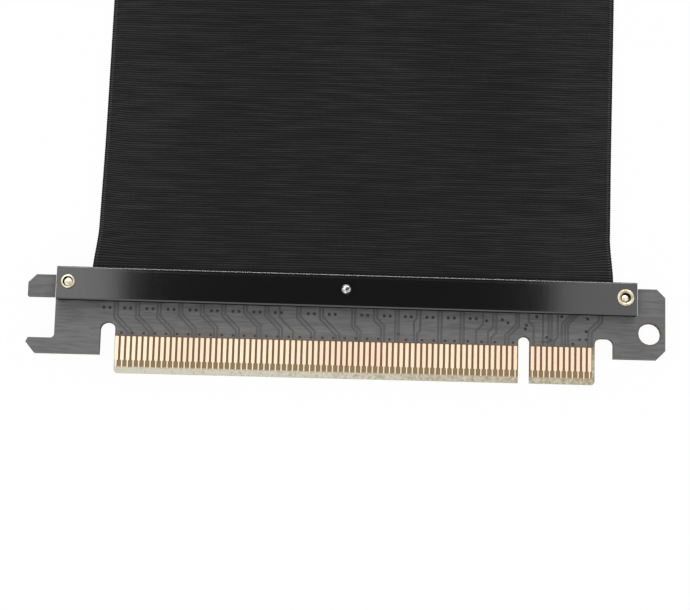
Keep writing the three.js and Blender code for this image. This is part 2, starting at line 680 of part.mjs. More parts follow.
addPiece('plug_board', makePlugBoard(), finishes.board);
addPiece('socket_board', makeSocketBoard(), finishes.board);
addPiece('slot_housing', makeSlotHousing(), finishes.housing);

function addClamp(end, y, cableSide, skew) {
  const clamp = new THREE.Group();
  clamp.position.y = y;
  clamp.rotation.z = skew;
  object.add(clamp);
  addPiece(`${end}_front_bar`, makeClampBar(1, cableSide), finishes.bar, clamp);
  addPiece(`${end}_back_bar`, makeClampBar(-1, cableSide), finishes.bar, clamp);
  addPiece(`${end}_front_tape`, makeTape(1), finishes.tape, clamp);
  addPiece(`${end}_back_tape`, makeTape(-1), finishes.tape, clamp);
  addPiece(`${end}_left_eyelet`, makeEyelet(-eyeletX), finishes.eyelet, clamp);
  addPiece(`${end}_right_eyelet`, makeEyelet(eyeletX), finishes.eyelet, clamp);
  addPiece(`${end}_centre_rivet`, makeCentreRivet(), finishes.rivet, clamp);
}

addClamp('plug', clampY, 1, plugSkew);
addClamp('socket', socketClampY, -1, 0);

addPiece('woven_sleeve', makeSleeve(), finishes.sleeve);
for (const [layer, face] of [['front', 1], ['back', -1]]) {
  for (const [name, x0, x1] of ribbonPlaces()) {
    addPiece(`${layer}_${name}`, makeRibbon(face, x0, x1), finishes.ribbon);
  }
}

// The origin is under the middle of the whole object, on the floor.
object.position.set(-(hookTipX + boardRightX) / 2, -socketFarY / 2, 0);

export default object;
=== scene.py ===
# %% [markdown]
# A flat riser cable
#
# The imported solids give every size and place: the two boards, the clamp bars, the ribbons and the
# plain sleeve. This lesson gives them their looks: etched copper under black mask, gold fingers,
# glossy folded steel, rolled brass rivets and a ribbed woven sleeve.

import math
from functools import cached_property

import bpy
import numpy as np
from mathutils import Matrix, Vector


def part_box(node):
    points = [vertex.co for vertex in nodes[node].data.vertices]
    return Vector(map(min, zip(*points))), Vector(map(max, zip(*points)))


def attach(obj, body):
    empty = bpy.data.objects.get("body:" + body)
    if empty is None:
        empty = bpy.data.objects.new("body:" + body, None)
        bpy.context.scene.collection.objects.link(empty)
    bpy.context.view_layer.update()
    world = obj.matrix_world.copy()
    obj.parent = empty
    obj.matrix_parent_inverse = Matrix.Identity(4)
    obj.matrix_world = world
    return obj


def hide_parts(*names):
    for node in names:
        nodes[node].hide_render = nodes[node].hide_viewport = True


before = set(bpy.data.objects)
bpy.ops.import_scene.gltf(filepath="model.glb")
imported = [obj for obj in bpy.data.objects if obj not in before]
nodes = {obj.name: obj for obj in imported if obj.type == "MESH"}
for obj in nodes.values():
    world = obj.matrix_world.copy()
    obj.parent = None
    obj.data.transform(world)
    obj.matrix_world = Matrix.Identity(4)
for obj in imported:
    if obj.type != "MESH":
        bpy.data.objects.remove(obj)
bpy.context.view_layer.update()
MM = 0.001
print("solids in the frame:", len(nodes))


def box_mm(node):
    """Lowest and highest corner of a solid, in millimetres."""
    low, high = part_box(node)
    return np.array(low) / MM, np.array(high) / MM


# %% [markdown]
# The camera stands almost straight above the plug, a little in front of it, as the photograph's did.
# Its place and its three small turns were worked out from the known pitch of the gold fingers.

# %% Camera
CAMERA_PLACE = (5.06, -180.62, 375.08)     # millimetres
CAMERA_TURNS = (10.434, 0.805, 1.579)      # degrees about X, then Y, after Z
FOCAL_PIXELS = 2138.4
PICTURE_WIDTH = 690
SENSOR = 36.0

camera_data = bpy.data.cameras.new("camera")
camera_data.sensor_width = SENSOR
camera_data.lens = SENSOR * FOCAL_PIXELS / PICTURE_WIDTH
camera_data.clip_start = 0.01
camera_data.clip_end = 20
camera = bpy.data.objects.new("camera", camera_data)
turn_x, turn_y, turn_z = (math.radians(angle) for angle in CAMERA_TURNS)
camera.matrix_world = (
    Matrix.Translation(Vector(CAMERA_PLACE) * MM)
    @ Matrix.Rotation(turn_y, 4, "Y")
    @ Matrix.Rotation(turn_x, 4, "X")
    @ Matrix.Rotation(turn_z, 4, "Z")
)
bpy.context.scene.collection.objects.link(camera)
bpy.context.scene.camera = camera
print("lens, mm:", round(camera_data.lens, 1))

# %% [markdown]
# Every new shape is a stack of rings. A ring is a row of points that closes on itself, and a whole
# shape is one array of rings, so it can be worked out at once and needs no loop over points.

# %% Shapes from rings


def loft(rings, joined=False):
    """Points and faces of a skin over rings (rows, columns, 3). Rings run anticlockwise seen against
    the way they are stacked. The two ends are capped, or joined to each other."""
    rows, columns, _ = rings.shape
    row = np.arange(rows if joined else rows - 1)[:, None]
    column = np.arange(columns)[None, :]
    above, beside = (row + 1) % rows, (column + 1) % columns
    corners = [
        row * columns + column,
        row * columns + beside,
        above * columns + beside,
        above * columns + column,
    ]
    faces = np.stack(corners, axis=-1).reshape(-1, 4).tolist()
    if not joined:
        faces.append(list(range(columns))[::-1])
        faces.append(list(range((rows - 1) * columns, rows * columns)))
    return rings.reshape(-1, 3), faces


def at_height(outline, height):
    """A flat outline (n, 2) as a ring at one height."""
    return np.column_stack([outline, np.full(len(outline), height)])


def inset(outline, distance):
    """An anticlockwise outline drawn in by a distance: each point moves against the mean of the
    outward normals of its two sides, by the distance over the cosine of half their turn."""
    side = np.roll(outline, -1, axis=0) - outline
    side /= np.linalg.norm(side, axis=1, keepdims=True)
    normal = np.column_stack([side[:, 1], -side[:, 0]])
    mean = normal + np.roll(normal, 1, axis=0)
    mean /= np.linalg.norm(mean, axis=1, keepdims=True)
    turn = np.clip((mean * normal).sum(axis=1, keepdims=True), 0.5, 1)
    return outline - mean * distance / turn


def pad(outline, low, high, soft):
    """A thin plate of an outline with a softened upper edge: three rings and a flat top."""
    return loft(np.stack([
        at_height(outline, low),
        at_height(outline, high - soft),
        at_height(inset(outline, soft), high),
    ]))


def turned(profile, sides):
    """A profile of pairs (radius, height), carried round the upright axis. Heights rise outside."""
    radius, height = np.array(profile, float).T
    angle = np.arange(sides) * 2 * np.pi / sides
    return np.stack([
        radius[:, None] * np.cos(angle),
        radius[:, None] * np.sin(angle),
        np.broadcast_to(height[:, None], (len(radius), sides)),
    ], axis=-1)


def moved(shape, offset):
    points, faces = shape
    return points + np.asarray(offset, float), faces


def upside_down(shape, middle_z):
    """The same shape on the other face of a plate: turned half round the X axis at middle_z."""
    points, faces = shape
    return (points - [0, 0, middle_z]) * [1, 1, -1] + [0, 0, middle_z], [face[::-1] for face in faces]


def together(shapes):
    """Several shapes as one, with their faces renumbered."""
    points, faces, count = [], [], 0
    for shape_points, shape_faces in shapes:
        points.append(shape_points)
        faces += [[corner + count for corner in face] for face in shape_faces]
        count += len(shape_points)
    return np.concatenate(points), faces


def copies(shape, places):
    return together([moved(shape, place) for place in places])


def make_piece(name, shape, finish, smooth_angle=35, replaces=(), marks=None):
    """An object at the origin from points in millimetres, riding on the cable. Marks are rows of
    one number a point, which a material can read by their names."""
    points, faces = shape
    mesh = bpy.data.meshes.new(name)
    mesh.from_pydata((points * MM).tolist(), [], faces)
    mesh.materials.append(finish)
    mesh.polygons.foreach_set("use_smooth", np.ones(len(mesh.polygons), bool))
    mesh.set_sharp_from_angle(angle=math.radians(smooth_angle))
    for mark, values in (marks or {}).items():
        mesh.attributes.new(mark, "FLOAT", "POINT").data.foreach_set("value", values)
    piece = bpy.data.objects.new(name, mesh)
    bpy.context.scene.collection.objects.link(piece)
    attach(piece, "root")
    if replaces:
        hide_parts(*replaces)
    print(name, len(mesh.polygons), "faces")
    return piece


def both_faces(name, shape, finish):
    """A piece on the front of a board, and the same piece on its back."""
    make_piece(name, shape, finish)
    back_name = name.replace("front", "back")
    make_piece(back_name, upside_down(shape, BOARD_MIDDLE), finish)


# %% [markdown]
# A material is a small network of nodes. Writing it as arithmetic keeps it readable: a Value stands
# for one socket, and adding, taking away or multiplying two of them puts in the Math node.

# %% Materials as expressions


class Value:
    """A socket of a material that can be used in Python arithmetic."""

    def __init__(self, network, socket):
        self.network = network
        self.socket = socket

    def math(self, operation, *values):
        inputs = dict(enumerate(values))
        return self.network.node("ShaderNodeMath", {"operation": operation}, inputs)

    def __add__(self, other):
        return self.math("ADD", self, other)

    def __sub__(self, other):
        return self.math("SUBTRACT", self, other)

    def __rsub__(self, other):
        return self.math("SUBTRACT", other, self)

    def __mul__(self, other):
        return self.math("MULTIPLY", self, other)

    __radd__ = __add__
    __rmul__ = __mul__

    def __truediv__(self, other):
        return self.math("DIVIDE", self, other)

    def __abs__(self):
        return self.math("ABSOLUTE", self)

    def sine(self):
        return self.math("SINE", self)

    def root(self):
        return self.math("SQRT", self)

    def over(self, other):
        return self.math("MAXIMUM", self, other)

    def step_up(self, edge, width):
        """0 below an edge and 1 above it, going over in a width round it."""
        values = {"Value": self, "From Min": edge - width / 2, "From Max": edge + width / 2}
        return self.network.node("ShaderNodeMapRange", {"interpolation_type": "SMOOTHSTEP"}, values)

    def between(self, low, high, width):
        return self.step_up(low, width) * (1 - self.step_up(high, width))


class Network:
    """A tree of shader nodes that grows from Python expressions."""

    def __init__(self, tree):
        self.tree = tree

    def node(self, kind, settings=None, inputs=None, output=0):
        """Adds a node: its settings first, then values or links for its sockets."""
        node = self.tree.nodes.new(kind)
        for name, value in (settings or {}).items():
            setattr(node, name, value)
        for key, value in (inputs or {}).items():
            if isinstance(value, Value):
                self.tree.links.new(value.socket, node.inputs[key])
            else:
                node.inputs[key].default_value = value
        return Value(self, node.outputs[output])

    def part(self, kind, value, output):
        return self.node(kind, None, {0: value}, output)

    def colour_mix(self, share, first, second):
        """One colour where share is 0 and another where it is 1."""
        inputs = {0: share, 6: first, 7: second}
        return self.node("ShaderNodeMix", {"data_type": "RGBA"}, inputs, 2)

    def seen_by(self, *rays):
        """1 for rays of the named kinds and 0 for the others."""
        path = self.node("ShaderNodeLightPath").socket.node
        seen = Value(self, path.outputs[f"Is {rays[0]} Ray"])
        for kind in rays[1:]:
            seen = seen.over(Value(self, path.outputs[f"Is {kind} Ray"]))
        return seen


class Finish(Network):
    """One material. Object coordinates are read in millimetres as finish.x, finish.y and finish.z."""

    def __init__(self, name, **constants):
        self.material = bpy.data.materials.new(name)
        self.material.use_nodes = True
        super().__init__(self.material.node_tree)
        self.surface = self.tree.nodes["Principled BSDF"]
        for socket, value in constants.items():
            self.surface.inputs[socket.replace("_", " ")].default_value = value

    @cached_property
    def place(self):
        return self.node("ShaderNodeTexCoord", output="Object")

    @cached_property
    def x(self):
        return self.part("ShaderNodeSeparateXYZ", self.place, 0) / MM

    @cached_property
    def y(self):
        return self.part("ShaderNodeSeparateXYZ", self.place, 1) / MM

    @cached_property
    def z(self):
        return self.part("ShaderNodeSeparateXYZ", self.place, 2) / MM

    @cached_property
    def facing_up(self):
        """1 on level faces, turned up or down, and 0 on upright ones."""
        normal = self.node("ShaderNodeNewGeometry", output="Normal")
        return abs(self.part("ShaderNodeSeparateXYZ", normal, 2))

    def mark(self, name):
        """A number carried by the points of the mesh."""
        return self.node("ShaderNodeAttribute", {"attribute_name": name}, None, "Fac")

    def noise(self, scale, stretch=(1, 1, 1), detail=3.0):
        """Noise from 0 to 1 with so many lumps a millimetre, stretched along the axes."""
        mapped = self.node("ShaderNodeMapping", None, {0: self.place, 3: tuple(s / MM for s in stretch)})
        return self.node("ShaderNodeTexNoise", None, {"Vector": mapped, "Scale": scale, "Detail": detail})

    def distance(self, x, y):
        """Distance from an upright line at x, y."""
        across = self.x - x
        along = self.y - y
        return (across * across + along * along).root()

    def set(self, socket, value):
        self.tree.links.new(value.socket, self.surface.inputs[socket])

    def bump(self, height, depth, strength=1.0):
        """Small relief: height from 0 to 1 stands for depth millimetres."""
        inputs = {"Height": height, "Distance": depth * MM, "Strength": strength}
        self.set("Normal", self.node("ShaderNodeBump", None, inputs))


def grey(level, warmth=0.0):
    """A grey of a display level from 0 to 255 as a linear colour, a little warm or cool."""
    share = level / 255
    linear = share / 12.92 if share <= 0.04045 else ((share + 0.055) / 1.055) ** 2.4
    return (linear * (1 + warmth), linear, linear * (1 - warmth), 1)


def shade(red, green, blue):
    """A display colour from 0 to 255 as a linear colour."""
    return tuple(grey(level)[1] for level in (red, green, blue)) + (1,)


# %% [markdown]
# The boards are glass laminate under a black solder mask. The mask stops just above the gold
# fingers: below that line the bare laminate shows, pale on the bevel, and dark between the fingers,
# where the darkness is painted shade.
# A ring of laminate is bare round every screw hole too, and the routed edges are bare all round.

# %% Places on the boards
plug_low, plug_high = box_mm("plug_board")
socket_low, socket_high = box_mm("socket_board")
BOARD_THICKNESS = 1.6
BOARD_LOW = 3.0
BOARD_HIGH = BOARD_LOW + BOARD_THICKNESS
BOARD_MIDDLE = BOARD_LOW + BOARD_THICKNESS / 2

KEY_X = 31.45
KEY_WIDTH = 2.0
FINGER_PITCH = 1.0
FIRST_FINGER = 1.5
LONG_FINGERS = 71
SHORT_FINGERS = 11
FINGER_TOP = 6.44
FINGER_FOOT = 2.25
TAB_LEFT = KEY_X - FIRST_FINGER - (LONG_FINGERS - 1) * FINGER_PITCH - 0.4
TAB_RIGHT = KEY_X + FIRST_FINGER + (SHORT_FINGERS - 1) * FINGER_PITCH + 0.9
MASK_EDGE = FINGER_TOP + 0.16
LEAD_FOOT = 0.95
BEVEL_TOP = 0.75
card_edge_y = plug_low[1]
EAR_HOLE = (plug_high[0] - 2.76, card_edge_y + 9.2)
EAR_HOLE_RADIUS = 1.975

# %% [markdown]
# The mask is one network for both boards. Only the plug's has the window over its fingers.

# %% Solder mask and bare laminate
MASK_GREY = grey(98)
MASK_DARK = grey(80)
MASK_BROWN = shade(84, 76, 70)
LAMINATE_PALE = shade(206, 201, 183)
LAMINATE_TAN = shade(154, 142, 110)
LAMINATE_MID = shade(124, 104, 68)
LAMINATE_FINGER_SHADE = shade(98, 66, 38)
LAMINATE_EDGE = shade(84, 80, 70)


def board_finish(name, holes, hole_radius, ring_width, tab=False):
    """Mask on the faces with a faint weave showing through, bare laminate on edges and rings."""
    finish = Finish(name, Roughness=0.5)
    cloudy = finish.noise(0.12, (1, 1, 1), 4)
    streaky = finish.noise(1.0, (0.3, 2.6, 1), 4)
    weave = (cloudy * 0.3 + streaky * 0.7).step_up(0.5, 0.26)
    mask = finish.colour_mix(weave, MASK_DARK, MASK_GREY)
    mask_share = finish.facing_up.step_up(0.5, 0.2)
    bare = finish.noise(1.7, (1, 1, 1), 4)
    pale = finish.colour_mix((bare - finish.x * 0.004).step_up(0.4, 0.5), LAMINATE_TAN, LAMINATE_PALE)
    colour = finish.colour_mix(mask_share, LAMINATE_EDGE, mask)
    if tab:
        height = finish.y - card_edge_y
        stain = (1 - height.step_up(MASK_EDGE + 0.9, 1.4)) * bare.step_up(0.45, 0.3)
        stain = stain * finish.x.between(TAB_LEFT, TAB_RIGHT, 1.0)
        colour = finish.colour_mix(stain * 0.7, colour, MASK_BROWN)
        lower = finish.colour_mix((height + bare * 0.5).step_up(LEAD_FOOT + 0.3, 0.35), pale, LAMINATE_MID)
        # Between the fingers, above their feet, the laminate is darkened: painted shade in the narrow gaps.
        lower = finish.colour_mix(height.step_up(FINGER_FOOT, 0.1), lower, LAMINATE_FINGER_SHADE)
        inside = finish.x.between(TAB_LEFT + 0.35, TAB_RIGHT - 0.5, 0.2)
        lower = finish.colour_mix(inside, finish.colour_mix(height.step_up(5, 5), pale, LAMINATE_MID), lower)
        window = finish.x.between(TAB_LEFT - 0.5, TAB_RIGHT + 0.5, 0.05)
        window = window * (1 - height.step_up(MASK_EDGE, 0.06))
        colour = finish.colour_mix(window, colour, lower)
    for x, y in holes:
        ring = 1 - finish.distance(x - 0.12, y - 0.12).step_up(hole_radius + ring_width, 0.12)
        colour = finish.colour_mix(ring, colour, LAMINATE_EDGE)
    finish.set("Base Color", colour)
    finish.set("Roughness", streaky * 0.2 + 0.4)
    finish.bump(streaky * 0.6 + cloudy * 0.4, 0.02, 0.5)
    return finish.material


plug_mask = board_finish("plug_mask", [EAR_HOLE], EAR_HOLE_RADIUS, 0.32, tab=True)
SOCKET_HOLE_INSET = 4.5
SOCKET_HOLE_SPACING = 17.5
SOCKET_HOLE_RADIUS = 1.6
socket_holes = [
    (x, socket_high[1] - SOCKET_HOLE_INSET - back)
    for x in (socket_low[0] + SOCKET_HOLE_INSET, socket_high[0] - SOCKET_HOLE_INSET)
    for back in (0, SOCKET_HOLE_SPACING)
]
socket_mask = board_finish("socket_mask", socket_holes, SOCKET_HOLE_RADIUS, 1.1)
for node, finish in (("plug_board", plug_mask), ("socket_board", socket_mask)):
    nodes[node].data.materials.clear()
    nodes[node].data.materials.append(finish)

# %% [markdown]
# Each gold finger is a plate a few hundredths of a millimetre thick, with rounded upper corners. A
# narrow lead runs on from its foot to the bevel: it carried the current when the gold was plated.

# %% Gold fingers
GOLD = shade(224, 204, 178)
GOLD_PINK = shade(224, 196, 171)
FINGER_WIDTH = 0.62
FINGER_CORNER = 0.1
FINGER_RISE = 0.075
FINGER_SOFT = 0.02
LEAD_WIDTH = 0.22
SUNK = 0.01


def gold_finish():
    """Satin gold with a slow drift in its pink and fine scratches along the fingers."""
    finish = Finish("finger_gold", Metallic=1.0)
    drift = finish.noise(0.09, (1, 0.3, 1), 2)
    scratch = finish.noise(3.0, (4, 0.25, 1), 2)
    finish.set("Base Color", finish.colour_mix(drift.step_up(0.5, 0.3), GOLD, GOLD_PINK))
    finish.set("Roughness", scratch * 0.25 + 0.3)
    finish.bump(scratch, 0.004)
    return finish.material


def finger_outline(width, lead, corner):
    """A finger from its lead's foot up: the lead, two shoulders and a top with two round corners."""
    half = width / 2
    bend = np.linspace(0, np.pi / 2, 4)
    right_corner = np.column_stack([
        half - corner + corner * np.cos(bend),
        FINGER_TOP - corner + corner * np.sin(bend),
    ])
    foot = [[lead / 2, LEAD_FOOT], [lead / 2, FINGER_FOOT - 0.12], [half, FINGER_FOOT]]
    right = np.concatenate([foot, right_corner])
    left = (right * [-1, 1])[::-1]
    return np.concatenate([right, left])


finger = pad(finger_outline(FINGER_WIDTH, LEAD_WIDTH, FINGER_CORNER), -SUNK, FINGER_RISE, FINGER_SOFT)
finger_x = np.concatenate([
    KEY_X - FIRST_FINGER - np.arange(LONG_FINGERS) * FINGER_PITCH,
    KEY_X + FIRST_FINGER + np.arange(SHORT_FINGERS) * FINGER_PITCH,
])
fingers = copies(finger, [(x, card_edge_y, BOARD_HIGH) for x in finger_x])
gold = gold_finish()
both_faces("front_fingers", fingers, gold)

# %% [markdown]
# Copper tracks run under the mask in pairs, one pair for each lane. The copper round them is etched
# away, so each track shows as a fine ridge with a dark line on both sides. They leave the clamp bar
# straight, jog sideways at 45 degrees, and end at their fingers or in small plated holes.

# %% Tracks and plated holes
TRACK = 0.13
TRACK_RISE = 0.022
CLEARED = 0.34
CLEARED_RISE = 0.006
MASK_LINE = grey(58)
MASK_HOLE = grey(34)


def strip(path, width, low, high):
    """A flat strip carried along a path (n, 2): each station's two edges lie half a width to the
    sides, along the mean normal of the stretches that meet there."""
    path = np.asarray(path, float)
    ahead = np.diff(path, axis=0)
    ahead /= np.linalg.norm(ahead, axis=1, keepdims=True)
    mean = np.concatenate([ahead[:1], ahead[:-1] + ahead[1:], ahead[-1:]])
    mean /= np.linalg.norm(mean, axis=1, keepdims=True)
    reach = np.concatenate([ahead[:1], ahead])
    side = np.column_stack([-mean[:, 1], mean[:, 0]])
    side *= width / 2 / (mean * reach).sum(axis=1, keepdims=True)
    left, right = path + side, path - side
    return loft(np.stack([
        np.column_stack([right, np.full(len(path), low)]),
        np.column_stack([right, np.full(len(path), high)]),
        np.column_stack([left, np.full(len(path), high)]),
        np.column_stack([left, np.full(len(path), low)]),
    ], axis=1)[:, ::-1])


def jog(x, shift, turn_at, top, foot):
    """Down from the bar, sideways by a shift at 45 degrees from turn_at, and down to the foot."""
    if abs(shift) < 0.01:
        return [(x, top), (x, foot)]
    return [(x, top), (x, turn_at), (x + shift, turn_at - abs(shift)), (x + shift, foot)]


PAIR_GAP = 0.57
PAIR_LAG = 0.35
_, bar_high = box_mm("plug_front_bar")
TRACK_TOP = bar_high[1] - 1.0
FINGER_END = card_edge_y + FINGER_TOP
# Pairs on the front: place of the left track under the bar, sideways shift, height of its turn.
turn_heights = (9.7, 9.8, 9.8, 10.3, 10.6, 10.5, 11.1, 10.7)
front_pairs = [(-40.74 + 3.8 * i, 2.5, turn) for i, turn in enumerate(turn_heights)]
front_pairs += [(-8.52, 2.6, 10.4), (-4.53, 3.0, 10.4), (1.15, 1.0, 9.1), (5.01, 1.3, 10.4), (8.8, 0, 9)]
front_pairs += [(16.35, 0, 9), (20.25, 0, 9), (44.51, -1.8, 11.3)]
# Single tracks, with the same three numbers.
front_singles = [(-11.62, 2.5, 10.5), (12.58, -0.5, 10.9), (13.18, -0.5, 8.7), (24.19, -1.2, 10.1)]
front_singles += [(25.98, -0.9, 9.7), (26.55, -0.9, 8.7), (30.04, -1.9, 10.3), (30.5, -1.8, 9.9)]
front_singles += [(32.21, 0.9, 10.9), (34.74, 0, 9), (35.71, 0, 9), (36.25, 0, 9), (37.32, -0.6, 8.1)]
front_lines = front_singles + [
    (x + right * PAIR_GAP, shift, turn + (right if shift > 0 else -right) * PAIR_LAG)
    for x, shift, turn in front_pairs
    for right in (0, 1)
]
track_paths = [jog(x, shift, card_edge_y + turn, TRACK_TOP, FINGER_END) for x, shift, turn in front_lines]
# Three tracks come from under the bar on a slant.
track_paths += [
    [(x + 2.4, card_edge_y + turn + 2.4), (x, card_edge_y + turn), (x, FINGER_END)]
    for x, turn in ((38.03, 10.62), (38.62, 10.55), (39.11, 10.42))
]
track_paths.append([(34.3, card_edge_y + 7.3), (35.8, card_edge_y + 7.3)])


def line_finish(name, colour, roughness):
    """Mask over bare laminate, a little darker than over copper, with the same faint cloudiness."""
    finish = Finish(name, Roughness=roughness)
    cloudy = finish.noise(0.8, (1, 1, 1), 3)
    dark = tuple(channel * 0.75 for channel in colour[:3]) + (1,)
    finish.set("Base Color", finish.colour_mix(cloudy, dark, colour))
    finish.bump(cloudy, 0.004)
    return finish.material


cleared_mask = line_finish("mask_over_laminate", MASK_LINE, 0.5)
track_mask = line_finish("mask_over_track", grey(84), 0.45)
hole_mask = line_finish("mask_in_holes", MASK_HOLE, 0.6)
LINE_KINDS = (
    ("tracks", TRACK, TRACK_RISE, track_mask),
    ("clearings", CLEARED, CLEARED_RISE, cleared_mask),
)


def etch(prefix, paths):
    """Tracks along the paths on both faces of a board, and the wider cleared lines beside them."""
    for kind, width, rise, finish in LINE_KINDS:
        lines = together([strip(path, width, BOARD_HIGH - SUNK, BOARD_HIGH + rise) for path in paths])
        both_faces(f"{prefix}front_{kind}", lines, finish)


etch("", track_paths)


def plated_hole(radius, sides=10):
    """A filled hole under the mask: a low round rim that falls to a dimple."""
    return loft(turned([
        (radius, -0.01), (radius, 0.02), (radius * 0.8, 0.04), (radius * 0.55, 0.02), (radius * 0.3, 0.012),
    ], sides))


HOLE_ROW = 11.48
HOLE_ROW_SLOPE = -0.006
SMALL_HOLE_ROW = 7.04
LARGE_HOLE = 0.29
SMALL_HOLE = 0.25
hole_pairs = [-42.62, -38.95, -35.02, -31.3, -27.43, -23.64, -19.84, -16.14, -12.37]
hole_pairs += [-6.57, -2.88, 2.85, 6.82, 10.52, 14.33, 18.08, 21.93]
hole_places = [
    (x + right, HOLE_ROW + HOLE_ROW_SLOPE * (x + 42))
    for x in hole_pairs
    for right in (0, 1.06)
]
hole_places += [(9.37, 8.05), (24.82, 10.77), (27.58, 11.04), (28.59, 10.51), (31.82, 10.18), (31.64, 9.5)]
hole_places += [(33.63, 11.74), (38.0, 11.86), (42.57, 11.56), (42.32, 9.29), (41.19, 7.84), (42.33, 7.86)]
hole_places += [(35.42, 8.1), (36.17, 7.64), (39.99, 7.02)]
finger_holes = np.concatenate([
    np.arange(-39.35, 8, 1.965),
    [10.73, 13.54, 15.61, 17.63, 19.24, 21.6, 24.0, 26.35, 29.51],
])
large = copies(plated_hole(LARGE_HOLE), [(x, card_edge_y + y, BOARD_HIGH) for x, y in hole_places])
small_places = [(x, card_edge_y + SMALL_HOLE_ROW, BOARD_HIGH) for x in finger_holes]
small = copies(plated_hole(SMALL_HOLE), small_places)
holes = together([large, small])
both_faces("front_plated_holes", holes, hole_mask)

# %% [markdown]
# The clamp bars are channels folded from sheet steel and painted gloss black. What the eye reads is
# the pair of bright lines along the two folds, so the folds need a true round section. The channel's
# outline is carried along X, and the side towards the sleeve is cut short to let the sleeve in. The
# other side is folded a little past square, so only a thin dark line of it shows from above.

# %% Clamp bars
CLAMP_WIDTH = 5.55
CLAMP_LENGTH = 101.85
CLAMP_RISE = 3.0
CLAMP_WALL = 0.8
FOLD = 0.28
FLANGE_LEAN = 0.35
PRESS_MARK = 0.75
PRESS_MARK_WIDTH = 0.15
EYELET_DRILL = 1.0
CENTRE_DRILL = 0.65
FOLD_STEPS = 8
EDGE_SOFT = 0.06
END_SOFT = 0.11
FLAT_STEP = 0.04
MOUTH_HALF = 46.4
MOUTH_RISE = 1.9
EYELET_X = CLAMP_LENGTH / 2 - 2.1
SLEEVE_OFFSET = 0.95


def channel_section(sleeve_flange_foot):
    """The channel's outline in (y, z), the web on top. The flange at +Y ends at the given height.
    A short level step on both sides of a fold keeps its shading off the flat faces."""
    half, foot = CLAMP_WIDTH / 2, sleeve_flange_foot
    bend = np.linspace(0, np.pi / 2, FOLD_STEPS)
    arc = np.column_stack([half - FOLD + FOLD * np.cos(bend), CLAMP_RISE - FOLD + FOLD * np.sin(bend)])
    right = np.concatenate([[arc[0] - [0, FLAT_STEP]], arc, [arc[-1] - [FLAT_STEP, 0]]])
    left = (right * [-1, 1])[::-1] - [FLANGE_LEAN, 0]
    inner = CLAMP_WALL
    return np.concatenate([
        [[half - EDGE_SOFT, foot], [half, foot + EDGE_SOFT]],
        right,
        left,
        [[-half, EDGE_SOFT], [EDGE_SOFT - half, 0]],
        [[inner - half, 0], [inner - half - FLANGE_LEAN, CLAMP_RISE - inner]],
        [[half - inner, CLAMP_RISE - inner], [half - inner, foot]],
    ])


def bar_shape():
    """Sections at the ends, drawn in a little for a soft cut edge, and at the ends of the mouth."""
    half = CLAMP_LENGTH / 2
    mouth = [SLEEVE_OFFSET - MOUTH_HALF, SLEEVE_OFFSET + MOUTH_HALF]
    step = 0.02
    stations = [
        (-half, 0, END_SOFT), (END_SOFT - half, 0, 0),
        (mouth[0] - step, 0, 0), (mouth[0], MOUTH_RISE, 0),
        (mouth[1], MOUTH_RISE, 0), (mouth[1] + step, 0, 0),
        (half - END_SOFT, 0, 0), (half, 0, END_SOFT),
    ]
    rings = []
    for x, foot, soft in stations:
        section = channel_section(foot)
        if soft:
            section = inset(section, soft)
        rings.append(np.column_stack([np.full(len(section), x), section]))
    return loft(np.stack(rings))


def drill(piece, places):
    """Clear holes through a piece, cut by a many-sided post at each place (x, y, radius)."""
    points, faces = together([
        moved(loft(turned([(radius, -4), (radius, 12)], 40)), (x, y, 0)) for x, y, radius in places
    ])
    cutter_mesh = bpy.data.meshes.new("posts")
    cutter_mesh.from_pydata((points * MM).tolist(), [], faces)
    cutter = bpy.data.objects.new("posts", cutter_mesh)
    bpy.context.scene.collection.objects.link(cutter)
    cut = piece.modifiers.new("holes", "BOOLEAN")
    cut.operation = "DIFFERENCE"
    cut.solver = "MANIFOLD"
    cut.object = cutter
    bpy.context.view_layer.update()
    shown = piece.evaluated_get(bpy.context.evaluated_depsgraph_get())
    drilled = bpy.data.meshes.new_from_object(shown)
    piece.modifiers.clear()
    piece.data = drilled
    drilled.set_sharp_from_angle(angle=math.radians(35))
    bpy.data.objects.remove(cutter)


def clamp_turn(end):
    """Middle and lie of a clamp, from the places of its two eyelets."""
    left = np.add(*box_mm(f"{end}_left_eyelet")) / 2
    right = np.add(*box_mm(f"{end}_right_eyelet")) / 2
    middle = (left + right) / 2
    angle = math.atan2(right[1] - left[1], right[0] - left[0])
    return middle, angle


def placed(shape, middle, angle):
    """A shape drawn about a clamp's middle line, turned and moved to its place."""
    points, faces = shape
    turn = np.array(Matrix.Rotation(angle, 3, "Z"))
    return points @ turn.T + [middle[0], middle[1], 0], faces


